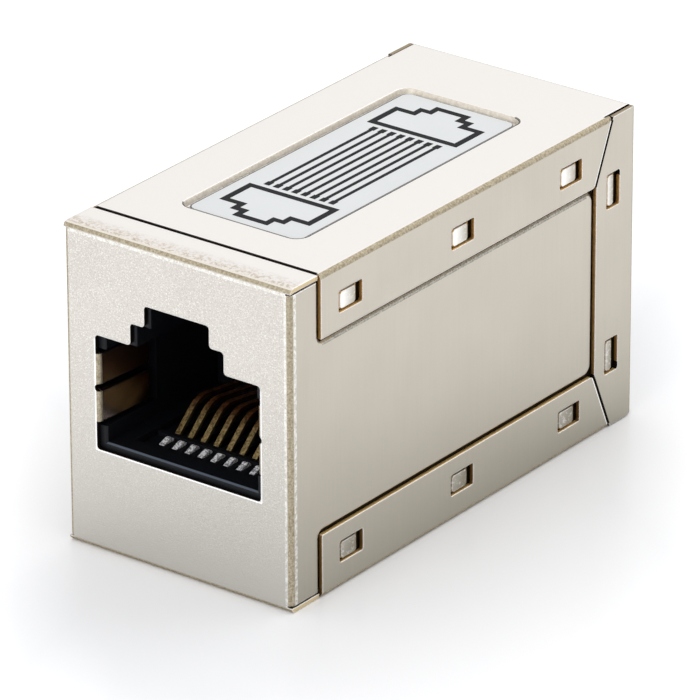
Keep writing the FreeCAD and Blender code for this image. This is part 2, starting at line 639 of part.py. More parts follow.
def main():
    contacts = [contact(k) for k in range(CONTACTS)]
    housing, holder = jack_housing(), contact_holder(contacts)
    pieces = {
        "front_shell": front_shell(),
        "rear_shell": rear_shell(),
        "label": label(),
        "circuit_board": circuit_board(),
        "front_jack_housing": housing,
        "rear_jack_housing": turned(housing),
        "front_contact_holder": holder,
        "rear_contact_holder": turned(holder),
    }
    for k, spring in enumerate(contacts):
        pieces["front_contact_%d" % (k + 1)] = spring
        pieces["rear_contact_%d" % (k + 1)] = turned(spring)
    os.makedirs("parts", exist_ok=True)
    for name, shape in pieces.items():
        shape.translate(V(0, -BODY_LENGTH / 2, 0))
        if len(shape.Solids) != 1 or not shape.isValid():
            print("check", name, "solids", len(shape.Solids), "valid", shape.isValid())
        shape.exportStep("parts/%s.step" % name)
    print("wrote", len(pieces), "pieces")


main()
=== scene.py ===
"""Studio scene of the shielded RJ45 inline coupler."""
import math

import bmesh
import bpy
from mathutils import Matrix, Vector


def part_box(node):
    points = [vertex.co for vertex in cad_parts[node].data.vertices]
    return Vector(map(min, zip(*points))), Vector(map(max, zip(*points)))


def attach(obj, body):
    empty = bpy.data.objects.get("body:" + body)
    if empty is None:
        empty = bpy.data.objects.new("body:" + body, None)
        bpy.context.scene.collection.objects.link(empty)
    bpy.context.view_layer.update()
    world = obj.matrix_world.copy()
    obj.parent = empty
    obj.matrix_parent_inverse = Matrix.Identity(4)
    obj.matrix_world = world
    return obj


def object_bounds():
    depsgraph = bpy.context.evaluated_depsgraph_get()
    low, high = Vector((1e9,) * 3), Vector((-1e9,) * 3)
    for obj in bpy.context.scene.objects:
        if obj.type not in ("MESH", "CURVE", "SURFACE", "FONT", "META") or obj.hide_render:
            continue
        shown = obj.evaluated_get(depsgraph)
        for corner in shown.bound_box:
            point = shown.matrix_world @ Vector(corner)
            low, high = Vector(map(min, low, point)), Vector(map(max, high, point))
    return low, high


MM = 0.001

# ---------------------------------------------------------------- sizes of the part, in millimetres

CASE_HEIGHT = 21.9
FOOTPRINT = (8.9, 18.2)  # half width and half length
FIRST_WINDOW = -12.28  # middle of the first window of a side flange, along the case
WINDOW_PITCH = 11.67
SEAM_SLOPE = 0.44  # way rearward of the slanted seams for each millimetre from the middle height
STRIP_SLANT = 0.76  # way to the left, for each millimetre rearward, of the floor's strip without the painted glow

# half sizes of rectangles, with their corner radius, where their middle lies and a border's width
RECESS, RECESS_CORNER, RECESS_MIDDLE = (4.75, 11.85), 0.9, -0.05
LABEL, LABEL_CORNER, LABEL_BORDER = (4.41, 11.51), 0.65, 0.08
PORT, PORT_MIDDLE = (6.45, 3.86), -0.1

# sizes of the patterns in the nickel plate
GRIT, CRAZING, FINE_CRACKS, ROLLED_GRAIN, CLOUDS = 0.09, 0.25, 0.13, 0.12, 5.0
# white of the painted highlights
PAINTED_HIGHLIGHT = "#FFFEFA"

# parts of a surface normal: 1 where the surface is square to an axis, 0 where it lies along it
SQUARE, MOST, HALF, LITTLE = 0.9, 0.7, 0.5, 0.2

# Areas of the case, each as ranges (least, most) of some measures, None for no limit.
#   x, y, height              place, from the middle of the case
#   across, along, apart      the same three without their sign
#   nx, ny, nz                surface normal
#   sideways, endways, level  the same three without their sign
#   lead                      y with the slant taken out, so that a slanted seam has one value
#   recess, port              distance outside the label recess and outside the port opening
#   edges                     mask of the sheared edges of a case
AREAS = {
    # faces and fittings
    "end faces": {"endways": (SQUARE, None), "along": (18.1, None)},
    "level faces": {"level": (0.97, None)},
    "label recess": {"across": (None, 4.85), "along": (None, 11.95), "height": (10.4, None)},
    "grounding fingers": {"across": (5.5, 6.6), "along": (13.0, 17.86), "apart": (None, 3.0)},
    "side bosses": {"across": (8.61, None), "apart": (7.7, 9.3), "y": (-14.0, None)},
    "rear bosses": {"across": (8.61, None), "y": (14.6, None)},
    # sheared edges of the front case
    "short flange side ends": {"across": (8.75, None), "sideways": (SQUARE, None),
                               "apart": (10.62, None)},
    "short flange rear edges": {"y": (None, -15.3), "ny": (MOST, None), "apart": (10.6, None)},
    # sheared edges of the rear case
    "side flange edges": {"across": (8.62, None), "sideways": (None, LITTLE), "apart": (None, 10.55),
                          "y": (None, 17.84)},
    "front edges": {"y": (None, -15.1), "ny": (None, -MOST)},
    "rear flange top edges": {"across": (8.62, None), "level": (SQUARE, None), "y": (15.4, None),
                              "apart": (10.5, None)},
    # sheared edges of both cases
    "port edges": {"along": (17.9, None), "endways": (None, LITTLE / 2), "across": (None, 7.2),
                   "apart": (None, 7.3)},
    # sheared edges of other colours, a painted highlight on the up-facing window sills, and those that
    # the punch left sharp
    "window sills": {"nz": (SQUARE, None), "apart": (None, 10.0), "across": (8.6, None)},
    "edges at the rear corners": {"level": (SQUARE, None), "y": (15.0, None), "across": (8.6, None),
                                  "apart": (10.4, None)},
    "edges at the front corners": {"sideways": (SQUARE, None), "apart": (10.6, None),
                                   "y": (None, -15.4)},
    "sheared edges on the inside": {"edges": (0.5, None), "across": (None, 8.8)},
    # gaps, where no light gets in, and strips beside the seams, painted as shade
    "panel under the flanges": {"across": (8.2, 8.61), "sideways": (SQUARE, None)},
    "groove beside the flanges": {"across": (8.6, 8.82), "apart": (6.4, 6.7), "y": (-15.2, 13.6)},
    "inside of the flanges": {"across": (8.2, 8.66), "sideways": (SQUARE, None)},
    "front edges of the panels": {"y": (None, -15.1), "across": (None, 8.6)},
    "slanted edges": {"across": (8.62, None), "ny": (None, -HALF), "y": (13.2, None),
                      "apart": (6.6, None)},
    "cross seams": {"y": (-15.44, -15.24), "apart": (10.9, None), "across": (None, 8.85)},
    "slanted seams": {"lead": (10.84, 11.0), "across": (8.9, None), "apart": (6.6, 10.7)},
    # painted highlights on and beside the folds, before the slanted seams and at a port;
    # painted shade on the joggle and at the rim of the label recess
    "side strips beside the front folds": {"across": (8.7, None), "y": (-17.86, -17.6)},
    "front strip beside the right fold": {"x": (8.3, 8.48), "y": (None, -18.1)},
    "rear strip beside its right fold": {"x": (-8.48, -8.3), "y": (18.1, None)},
    "end strips beside the top folds": {"height": (10.4, 10.6), "along": (18.1, None)},
    "strip before the slanted seams": {"lead": (10.66, 10.76), "across": (8.9, None),
                                       "apart": (6.6, 10.7)},
    "crown of the front fold": {"nz": (0.8, 0.98), "y": (None, -17.8)},
    "joggle ramps": {"sideways": (HALF, SQUARE), "apart": (None, 6.6), "across": (8.7, None),
                     "along": (None, 14.0)},
    "upper edge of the joggle": {"across": (8.75, None), "sideways": (SQUARE, None),
                                 "height": (6.12, 6.4), "y": (-15.0, 13.0)},
    "recess rim at the right": {"recess": (-0.02, 0.1), "height": (10.9, None), "x": (4.0, None)},
    "recess rim at the front": {"recess": (-0.02, 0.1), "height": (10.9, None), "y": (None, -11.4)},
    "sill and jambs of a port": {"port": (0.0, 0.11), "along": (18.1, None), "height": (None, 3.6)},
}

# ---------------------------------------------------------------- helpers


def linear(hex_colour):
    """sRGB hex colour as linear RGBA."""
    channels = [int(hex_colour[i:i + 2], 16) / 255 for i in (1, 3, 5)]
    return [c / 12.92 if c <= 0.04045 else ((c + 0.055) / 1.055) ** 2.4 for c in channels] + [1.0]


def feed(tree, node, inputs):
    """Gives each socket a value or a link; a node stands for its first output."""
    for socket, value in inputs.items():
        if isinstance(value, bpy.types.Node):
            value = value.outputs[0]
        if isinstance(value, bpy.types.NodeSocket):
            tree.links.new(value, node.inputs[socket])
        else:
            node.inputs[socket].default_value = value


def add(tree, kind, inputs=(), **settings):
    """Adds a node with its settings and what feeds it."""
    node = tree.nodes.new(kind)
    for name, value in settings.items():
        setattr(node, name, value)
    feed(tree, node, dict(inputs))
    return node


def new_material(name):
    """Empty material with its Principled shader wired to the output."""
    material = bpy.data.materials.new(name)
    material.use_nodes = True
    tree = material.node_tree
    tree.nodes.clear()
    shader = add(tree, "ShaderNodeBsdfPrincipled")
    add(tree, "ShaderNodeOutputMaterial", {"Surface": shader})
    return material, tree, shader


def place_and_facing(tree):
    """Place in millimetres, the same split into X, Y and Z, and the surface normal split."""
    where = add(tree, "ShaderNodeTexCoord").outputs["Object"]
    spot = add(tree, "ShaderNodeVectorMath", {0: where, "Scale": 1 / MM}, operation="SCALE")
    normal = add(tree, "ShaderNodeNewGeometry").outputs["True Normal"]
    place = add(tree, "ShaderNodeSeparateXYZ", {0: spot}).outputs
    facing = add(tree, "ShaderNodeSeparateXYZ", {0: normal}).outputs
    return spot, place, facing


def within(tree, measures, ranges):
    """1 where every measure lies in its range (least, most), None for no limit."""
    total = 1.0
    for name, limits in ranges.items():
        for limit, operation in zip(limits, ("GREATER_THAN", "LESS_THAN")):
            if limit is not None:
                passed = add(tree, "ShaderNodeMath", {0: measures[name], 1: limit}, operation=operation)
                total = add(tree, "ShaderNodeMath", {0: total, 1: passed}, operation="MULTIPLY")
    return total


def where_any(tree, masks):
    """Largest of several masks."""
    total = 0.0
    for mask in masks:
        total = add(tree, "ShaderNodeMath", {0: total, 1: mask}, operation="MAXIMUM")
    return total


def painted(tree, colour, *coats):
    """Colour under coats given as (mask, colour); a colour is a hex string or an output."""
    for mask, coat in coats:
        under, over = (linear(c) if isinstance(c, str) else c for c in (colour, coat))
        colour = add(tree, "ShaderNodeMix", {0: mask, 6: under, 7: over}, data_type="RGBA").outputs[2]
    return colour


def outside_rectangle(tree, pair, half_sizes, corner=0.0):
    """Distance of two coordinates beyond a centred rectangle with rounded corners."""
    beyond = []
    for coordinate, half in zip(pair, half_sizes):
        away = add(tree, "ShaderNodeMath", {0: coordinate}, operation="ABSOLUTE")
        past = add(tree, "ShaderNodeMath", {0: away, 1: half - corner}, operation="SUBTRACT")
        beyond.append(add(tree, "ShaderNodeMath", {0: past, 1: 0.0}, operation="MAXIMUM"))
    both = add(tree, "ShaderNodeCombineXYZ", {0: beyond[0], 1: beyond[1]})
    distance = add(tree, "ShaderNodeVectorMath", {0: both}, operation="LENGTH").outputs["Value"]
    return add(tree, "ShaderNodeMath", {0: distance, 1: corner}, operation="SUBTRACT")


# ---------------------------------------------------------------- materials


def survey(tree):
    """Place in millimetres as a vector, and by name the measures that AREAS lists and three more.

    square is 1 where the surface is square to an axis and less round a fold, fold is 1 on the
    folds, and the measure for painted shade toward the foot grows from 0 at the top to 1 at the foot.
    """
    spot, place, facing = place_and_facing(tree)
    height = add(tree, "ShaderNodeMath", {0: place[2], 1: CASE_HEIGHT / 2}, operation="SUBTRACT")
    at = {"x": place[0], "y": place[1], "height": height}
    at.update(zip(("nx", "ny", "nz"), facing))
    for name, signed in (("across", "x"), ("along", "y"), ("apart", "height"),
                         ("sideways", "nx"), ("endways", "ny"), ("level", "nz")):
        at[name] = add(tree, "ShaderNodeMath", {0: at[signed]}, operation="ABSOLUTE")
    at["lead"] = add(tree, "ShaderNodeMath", {0: at["apart"], 1: -SEAM_SLOPE, 2: at["y"]},
                     operation="MULTIPLY_ADD")
    from_recess = add(tree, "ShaderNodeMath", {0: at["y"], 1: RECESS_MIDDLE}, operation="SUBTRACT")
    at["recess"] = outside_rectangle(tree, (at["x"], from_recess), RECESS, RECESS_CORNER)
    from_port = add(tree, "ShaderNodeMath", {0: height, 1: PORT_MIDDLE}, operation="SUBTRACT")
    at["port"] = outside_rectangle(tree, (at["x"], from_port), PORT)
    at["square"] = where_any(tree, [at["sideways"], at["endways"], at["level"]])
    at["fold"] = add(tree, "ShaderNodeMapRange", {0: at["square"], 1: 0.997, 2: 0.975, 3: 0.0, 4: 1.0})
    # painted shade, from none at the top of the case to full at its foot
    depth = add(tree, "ShaderNodeMapRange", {0: height, 1: 11.0, 2: -11.0, 3: 0.0, 4: 1.0})
    at["duller"] = add(tree, "ShaderNodeMath", {0: depth, 1: 2.6}, operation="POWER")
    return spot, at


def area(tree, at, *names):
    """Mask of the named areas of the case taken together, 0 where none is named."""
    return where_any(tree, [within(tree, at, AREAS[name]) for name in names])


def plate_grains(tree, spot):
    """Patterns in the plate, by name."""
    # the rolled grain of the sides is drawn out to several millimetres
    drawn_out = add(tree, "ShaderNodeVectorMath", {0: spot, 1: (1.0, 1.0, 0.02)}, operation="MULTIPLY")
    grains = {}
    # name, place, size in millimetres, detail and roughness of each pattern
    for name, where, size, detail, roughness in (
            ("grit", spot, GRIT, 1.0, 0.5), ("craze", spot, CRAZING, 4.0, 0.7),
            ("fine", spot, FINE_CRACKS, 2.0, 0.6), ("cloud", spot, CLOUDS, 3.0, 0.5),
            ("rolled", drawn_out, ROLLED_GRAIN, 3.0, 0.6)):
        grains[name] = add(tree, "ShaderNodeTexNoise", {"Vector": where, "Scale": 1 / size,
                                                        "Detail": detail, "Roughness": roughness})
    grains["cracks"] = add(tree, "ShaderNodeMapRange",
                           {0: grains["fine"], 1: 0.30, 2: 0.68, 3: 0.0, 4: 1.0})
    return grains


def panel_colour(tree, at, grains):
    """Flat panels: rolled sides, blasted end faces with bright specks and dark pits, painted light on
    top.
    """
    end_face = area(tree, at, "end faces")
    speck = add(tree, "ShaderNodeMapRange", {0: grains["grit"], 1: 0.54, 2: 0.72, 3: 0.0, 4: 0.7})
    pit = add(tree, "ShaderNodeMapRange", {0: grains["grit"], 1: 0.44, 2: 0.28, 3: 0.0, 4: 0.35})
    cloud = grains["cloud"]
    blasted = painted(tree, "#D3CEC7", (cloud, "#DCD8D1"), (speck, "#FFFDF8"), (pit, "#A39C92"))
    rolled = painted(tree, "#C4BEB3", (cloud, "#CFC9BE"))
    shaded_foot_plate = painted(tree, "#AFAA9E", (end_face, "#C5C2BC"))
    # the level faces are painted brighter, as lit from above, and the foot gets painted shade
    return painted(tree, rolled, (end_face, blasted), (area(tree, at, "level faces"), "#F7F4F2"),
                   (at["duller"], shaded_foot_plate))


def boss_colour(tree, at, grains):
    """Bosses: painted highlight in front, painted shade behind and toward the case's foot,
    brassy round the boss's foot, with a painted glint here and there.
    """
    first = add(tree, "ShaderNodeMath", {0: at["y"], 1: FIRST_WINDOW}, operation="SUBTRACT")
    from_boss = add(tree, "ShaderNodeMath", {0: first, 1: WINDOW_PITCH / 2, 2: -WINDOW_PITCH / 2},
                    operation="WRAP")
    # painted highlight on the front of each boss, fading to painted shade behind
    side_slope = add(tree, "ShaderNodeMapRange", {0: from_boss, 1: -0.7, 2: 0.8, 3: 0.0, 4: 1.0})
    rear_slope = add(tree, "ShaderNodeMapRange", {0: at["y"], 1: 15.2, 2: 15.9, 3: 0.0, 4: 1.0})
    rear = within(tree, at, {"y": AREAS["rear bosses"]["y"]})
    highlight_to_shade = add(tree, "ShaderNodeMix", {0: rear, 2: side_slope, 3: rear_slope})
    pillow = add(tree, "ShaderNodeMapRange", {0: at["square"], 1: 0.80, 2: 0.97, 3: 0.0, 4: 1.0})
    glint = add(tree, "ShaderNodeMapRange", {0: grains["craze"], 1: 0.53, 2: 0.62, 3: 0.0, 4: 0.45})
    top = painted(tree, PAINTED_HIGHLIGHT, (highlight_to_shade, "#A59C8B"))
    return painted(tree, "#D8BE88", (pillow, top), (at["duller"], "#857D6C"), (glint, PAINTED_HIGHLIGHT))


def plate_colour(tree, at, grains, bosses):
    """The plate with its wear and its painted highlights and shade, from the panels up to the bosses
    and rims.
    """
    craze, cracks = grains["craze"], grains["cracks"]
    # painted highlights in strips beside the folds, broken up
    strips = area(tree, at, "side strips beside the front folds", "front strip beside the right fold",
                  "rear strip beside its right fold", "end strips beside the top folds")
    broken = add(tree, "ShaderNodeMapRange", {0: craze, 1: 0.40, 2: 0.60, 3: 0.05, 4: 0.75})
    fold_highlight = add(tree, "ShaderNodeMath", {0: strips, 1: broken}, operation="MULTIPLY")
    # scuffed patches on the short flanges, denser toward their front fold
    toward_fold = add(tree, "ShaderNodeMapRange", {0: at["y"], 1: -16.6, 2: -17.8, 3: 0.0, 4: 1.0})
    patches = add(tree, "ShaderNodeMapRange", {0: craze, 1: 0.46, 2: 0.60, 3: 0.1, 4: 0.9})
    scuff = add(tree, "ShaderNodeMath", {0: toward_fold, 1: area(tree, at, "level faces")},
                operation="MULTIPLY")
    scuff = add(tree, "ShaderNodeMath", {0: scuff, 1: patches}, operation="MULTIPLY")
    crazed = painted(tree, "#93876F", (cracks, "#C6BCA7"))
    # painted highlight on the upward-facing crown of the front fold
    crown = add(tree, "ShaderNodeMath", {0: area(tree, at, "crown of the front fold"), 1: 0.75},
                operation="MULTIPLY")
    # painted shade on the joggle ramps and on the joggle's upper edge, with a crackle
    joggle = area(tree, at, "joggle ramps", "upper edge of the joggle")
    joggle_shade = painted(tree, "#7E7A70", (cracks, "#BDB9AE"))
    # drawn wall of the label recess
    wall = add(tree, "ShaderNodeMath", {0: area(tree, at, "label recess"), 1: at["fold"]},
               operation="MULTIPLY")
    drawn = painted(tree, "#BDB4A4", (craze, "#FBF5EA"))
    # fingers, with painted shade growing further into the port
    inward = add(tree, "ShaderNodeMapRange", {0: at["along"], 1: 17.4, 2: 14.0, 3: 0.0, 4: 1.0})
    finger_plate = painted(tree, "#E0C9BE", (inward, "#8C7862"))
    return painted(tree, panel_colour(tree, at, grains),
                   (fold_highlight, PAINTED_HIGHLIGHT), (scuff, "#C4B49E"), (at["fold"], crazed), (crown, "#FBF6EE"),
                   (joggle, joggle_shade), (wall, drawn),
                   (area(tree, at, "grounding fingers"), finger_plate),
                   (bosses, boss_colour(tree, at, grains)),
                   # painted shade along the near rim of the label recess
                   (area(tree, at, "recess rim at the right", "recess rim at the front"), "#3F382E"),
                   # painted highlight on the sill and jambs of a port
                   (area(tree, at, "sill and jambs of a port"), "#FFFFFF"),
                   # painted highlight on a strip before each slanted seam
                   (area(tree, at, "strip before the slanted seams"), PAINTED_HIGHLIGHT))


def edge_colour(tree, at, grains):
    """Bare steel of the sheared edges, with painted shade toward the foot and a painted highlight on
    the sills.
    """
    # painted shade toward the foot, and a painted highlight on the up-facing window sills
    return painted(tree, "#8A6222", (grains["craze"], "#E8C080"), (at["duller"], "#806238"),
                   (area(tree, at, "window sills"), "#FFDC98"),
                   (area(tree, at, "edges at the rear corners"), "#A3957E"),
                   (area(tree, at, "edges at the front corners"), "#DCCBA6"))


def satin_nickel_plate(name, edge_areas, boss_areas, gap_shade_areas):
    """Nickel plate on blasted and rolled steel sheet.

    The plate is warm grey and satin, with a fine sparkle on the blasted end faces and a faint
    upright grain on the sides. It crazes to a dull taupe over the folds, has painted highlights beside
    them, on the bosses and on the rounded edges, painted shade in the gaps and toward the foot, and
    leaves the sheared edges yellow-brown.
    """
    material, tree, shader = new_material(name)
    spot, at = survey(tree)
    grains = plate_grains(tree, spot)
    at["edges"] = area(tree, at, *edge_areas)
    bosses = area(tree, at, *boss_areas)
    # painted shade in the gaps and beside the seams, black and not metallic
    gap_shade = area(tree, at, "slanted seams", "cross seams", "port edges", *gap_shade_areas)
    end_face = area(tree, at, "end faces")
    worn = where_any(tree, [at["edges"], at["fold"]])

    # the punch rounds every edge a little, and the outside of the rounding gets a painted highlight
    rounded = add(tree, "ShaderNodeBevel", {"Radius": 0.15 * MM}, samples=6)
    true_normal = add(tree, "ShaderNodeNewGeometry").outputs["True Normal"]
    turn = add(tree, "ShaderNodeVectorMath", {0: rounded, 1: true_normal}, operation="DOT_PRODUCT")
    rim = add(tree, "ShaderNodeMapRange", {0: turn.outputs["Value"], 1: 0.97, 2: 0.80, 3: 0.0, 4: 0.9})
    left_alone = where_any(tree, [at["fold"], gap_shade, area(tree, at, "sheared edges on the inside")])
    rim = add(tree, "ShaderNodeMix", {0: left_alone, 2: rim, 3: 0.0})
    colour = painted(tree, plate_colour(tree, at, grains, bosses),
                     (at["edges"], edge_colour(tree, at, grains)), (gap_shade, "#120D08"), (rim, "#FFFFFF"))

    rolled, grit = grains["rolled"], grains["grit"]
    rolled_rough = add(tree, "ShaderNodeMapRange", {0: rolled, 1: 0.3, 2: 0.7, 3: 0.36, 4: 0.44})
    grit_rough = add(tree, "ShaderNodeMapRange", {0: grit, 1: 0.3, 2: 0.7, 3: 0.40, 4: 0.54})
    rough = add(tree, "ShaderNodeMix", {0: end_face, 2: rolled_rough, 3: grit_rough})
    relief = add(tree, "ShaderNodeMix", {0: end_face, 2: rolled, 3: grit})
    relief = add(tree, "ShaderNodeMix", {0: worn, 2: relief, 3: grains["craze"]})
    strength = add(tree, "ShaderNodeMix", {0: end_face, 2: 0.1, 3: 0.7})
    strength = add(tree, "ShaderNodeMix", {0: worn, 2: strength, 3: 0.8})
    for mask, roughness in ((worn, 0.55), (bosses, 0.5), (area(tree, at, "grounding fingers"), 0.22)):
        rough = add(tree, "ShaderNodeMix", {0: mask, 2: rough, 3: roughness})
    bump = add(tree, "ShaderNodeBump",
               {"Height": relief, "Strength": strength, "Distance": 0.03 * MM, "Normal": rounded})
    metal = add(tree, "ShaderNodeMapRange", {0: gap_shade, 1: 0.0, 2: 1.0, 3: 1.0, 4: 0.0})
    feed(tree, shader, {"Base Color": colour, "Metallic": metal, "Roughness": rough, "Normal": bump,
                        "Specular IOR Level": 0.05, "Specular Tint": linear("#DBD7CF")})
    return material


def black_pbt():
    """Glass-filled PBT, moulded: near black, a cool sheen, a painted lip highlight, a fine spark-eroded
    texture.
    """
    material, tree, shader = new_material("black_pbt")
    spot, _, facing = place_and_facing(tree)
    # spark-eroded texture of the mould, about 0.06 mm, and slow flow marks
    skin = add(tree, "ShaderNodeTexNoise", {"Vector": spot, "Scale": 1 / 0.06, "Detail": 2.0})
    flow = add(tree, "ShaderNodeTexNoise", {"Vector": spot, "Scale": 1 / 3.0, "Detail": 2.0})
    # painted highlight, cool, on the upward-facing chamfered lip of the mouth's floor
    lip_highlight = within(tree, {"nz": facing[2]}, {"nz": (HALF, SQUARE)})
    colour = painted(tree, "#07080C", (flow, "#0D1017"), (lip_highlight, "#454E5B"))
    rough = add(tree, "ShaderNodeMapRange", {0: skin, 1: 0.3, 2: 0.7, 3: 0.40, 4: 0.55})
    rough = add(tree, "ShaderNodeMix", {0: lip_highlight, 2: rough, 3: 0.3})
    bump = add(tree, "ShaderNodeBump", {"Height": skin, "Strength": 0.25, "Distance": 0.01 * MM})
    feed(tree, shader, {"Base Color": colour, "Roughness": rough, "Normal": bump, "IOR": 1.6,
                        "Specular IOR Level": 0.22})
    return material


def plated_bronze():
    """Phosphor bronze wire: gold plate on the arch, mottled tin on the tip and the tail."""
    material, tree, shader = new_material("plated_bronze")
    spot, place, facing = place_and_facing(tree)
    depth = add(tree, "ShaderNodeMath", {0: place[1]}, operation="ABSOLUTE")
    tip = add(tree, "ShaderNodeMapRange", {0: depth, 1: 13.95, 2: 14.25, 3: 0.0, 4: 1.0})
    tail = add(tree, "ShaderNodeMapRange", {0: depth, 1: 4.6, 2: 4.2, 3: 0.0, 4: 1.0})
    tinned = where_any(tree, [tip, tail])
    # gold, drawn along the wire, with painted shade, dark brown with orange painted reflection, on the
    # arch further in
    along_wire = add(tree, "ShaderNodeVectorMath", {0: spot, 1: (8.0, 0.6, 0.6)}, operation="MULTIPLY")
    drawn = add(tree, "ShaderNodeTexNoise", {"Vector": along_wire, "Scale": 1.2, "Detail": 2.0})
    arch_blotches = add(tree, "ShaderNodeTexNoise", {"Vector": spot, "Scale": 1 / 0.5, "Detail": 2.0})
    arch_shade = add(tree, "ShaderNodeMapRange", {0: depth, 1: 12.9, 2: 11.6, 3: 0.0, 4: 1.0})
    arch = painted(tree, "#3A2012", (arch_blotches, "#C07A48"))
    gold = painted(tree, "#7A6236", (drawn, "#E2C88C"), (arch_shade, arch))
    # plugs wipe the face of a wire in flecks, and its flanks get painted shade
    mottle = add(tree, "ShaderNodeTexNoise",
                 {"Vector": spot, "Scale": 1 / 0.16, "Detail": 2.0, "Roughness": 0.6})
    flecks = add(tree, "ShaderNodeMapRange", {0: mottle, 1: 0.38, 2: 0.62, 3: 0.35, 4: 1.0})
    sideways = add(tree, "ShaderNodeMath", {0: facing[0]}, operation="ABSOLUTE")
    shaded_flank = within(tree, {"sideways": sideways}, {"sideways": (MOST, None)})
    flecks = add(tree, "ShaderNodeMix", {0: shaded_flank, 2: flecks, 3: 0.25})
    gold = add(tree, "ShaderNodeMix", {0: 1.0, 6: gold, 7: flecks}, data_type="RGBA",
               blend_type="MULTIPLY").outputs[2]
    patchy = add(tree, "ShaderNodeMapRange", {0: mottle, 1: 0.42, 2: 0.58, 3: 0.0, 4: 1.0})
    tin = painted(tree, "#94949C", (patchy, "#FFFFFF"))
    metal = add(tree, "ShaderNodeMix", {0: tinned, 2: 0.75, 3: 0.0})
    rough = add(tree, "ShaderNodeMapRange", {0: mottle, 1: 0.3, 2: 0.7, 3: 0.35, 4: 0.55})
    bump = add(tree, "ShaderNodeBump", {"Height": mottle, "Strength": 0.3, "Distance": 0.02 * MM})
    feed(tree, shader, {"Base Color": painted(tree, gold, (tinned, tin)), "Metallic": metal,
                        "Roughness": rough, "Normal": bump})
    return material


def green_laminate():
    """Glass-epoxy board under green solder mask: the glass weave shows faintly through it."""
    material, tree, shader = new_material("green_laminate")
    _, place, _ = place_and_facing(tree)
    # glass cloth, threads every 0.5 mm both ways
    threads = []
    for coordinate in (place[0], place[2]):
        angle = add(tree, "ShaderNodeMath", {0: coordinate, 1: 2 * math.pi / 0.5}, operation="MULTIPLY")
        threads.append(add(tree, "ShaderNodeMath", {0: angle}, operation="SINE"))
    weave = add(tree, "ShaderNodeMath", {0: threads[0], 1: threads[1]}, operation="MULTIPLY")
    shade = add(tree, "ShaderNodeMapRange", {0: weave, 1: -1.0, 2: 1.0, 3: 0.0, 4: 1.0})
    colour = painted(tree, "#0F4A2A", (shade, "#1A6038"))
    bump = add(tree, "ShaderNodeBump", {"Height": shade, "Strength": 0.2, "Distance": 0.01 * MM})
    feed(tree, shader, {"Base Color": colour, "Normal": bump, "Roughness": 0.35})
    return material


def label_film():
    """Polyester label film with a satin topcoat: cool white, slight orange peel, painted shade at its
    edge.
    """
    material, tree, shader = new_material("label_film")
    spot, place, facing = place_and_facing(tree)
    peel = add(tree, "ShaderNodeTexNoise", {"Vector": spot, "Scale": 1 / 0.35, "Detail": 2.0})
    tone = add(tree, "ShaderNodeTexNoise", {"Vector": spot, "Scale": 1 / 6.0, "Detail": 2.0})
    measures = {"level": add(tree, "ShaderNodeMath", {0: facing[2]}, operation="ABSOLUTE"),
                "outside": outside_rectangle(tree, (place[0], place[1]), LABEL, LABEL_CORNER)}
    # painted shade along the label's edge and on its sides
    edge_shade = where_any(tree, [within(tree, measures, {"level": (None, HALF)}),
                           within(tree, measures, {"outside": (-LABEL_BORDER, None)})])
    colour = painted(tree, painted(tree, "#DADDDE", (tone, "#E2E4E5")), (edge_shade, "#55555C"))
    bump = add(tree, "ShaderNodeBump", {"Height": peel, "Strength": 0.15, "Distance": 0.01 * MM})
    rough = add(tree, "ShaderNodeMapRange", {0: peel, 1: 0.3, 2: 0.7, 3: 0.36, 4: 0.44})
    feed(tree, shader, {"Base Color": colour, "Roughness": rough, "Normal": bump})
    return material


def printing_ink():
    """Thermal transfer ribbon ink: dense black, a little broken where the film is uneven."""
    material, tree, shader = new_material("printing_ink")
    spot, _, _ = place_and_facing(tree)
    grain = add(tree, "ShaderNodeTexNoise", {"Vector": spot, "Scale": 1 / 0.08, "Detail": 2.0})
    colour = painted(tree, "#07080A", (grain, "#15171B"))
    feed(tree, shader, {"Base Color": colour, "Roughness": 0.5, "Specular IOR Level": 0.1})
    return material


def gloss_acrylic_floor():
    """White acrylic table: a faint mirror of what stands on it, and a painted glow further off."""
    material, tree, shader = new_material("gloss_acrylic_floor")
    spot, place, _ = place_and_facing(tree)
    away = outside_rectangle(tree, (place[0], place[1]), FOOTPRINT)
    # painted glow that grows away from the part's footprint
    glow_away = add(tree, "ShaderNodeMapRange", {0: away, 1: 5.0, 2: 26.0, 3: 0.0, 4: 0.16},
                 interpolation_type="SMOOTHSTEP")
    # painted glow, brighter on either side of the slanting strip in which the part stands
    off_strip = add(tree, "ShaderNodeMath", {0: place[1], 1: STRIP_SLANT, 2: place[0]},
                    operation="MULTIPLY_ADD")
    off_strip = add(tree, "ShaderNodeMath", {0: off_strip}, operation="ABSOLUTE")
    beside = add(tree, "ShaderNodeMapRange", {0: off_strip, 1: 20.0, 2: 33.0, 3: 0.0, 4: 0.2},
                 interpolation_type="SMOOTHSTEP")
    ripple = add(tree, "ShaderNodeTexNoise", {"Vector": spot, "Scale": 1 / 60.0, "Detail": 1.0})
    colour = painted(tree, "#F8F9FB", (ripple, "#FBFCFF"))
    feed(tree, shader, {"Base Color": colour, "Emission Strength": where_any(tree, [glow_away, beside]),
                        "Emission Color": linear("#FFFFFF"), "Roughness": 0.22,
                        "Specular IOR Level": 0.25})
    return material


# ---------------------------------------------------------------- pieces

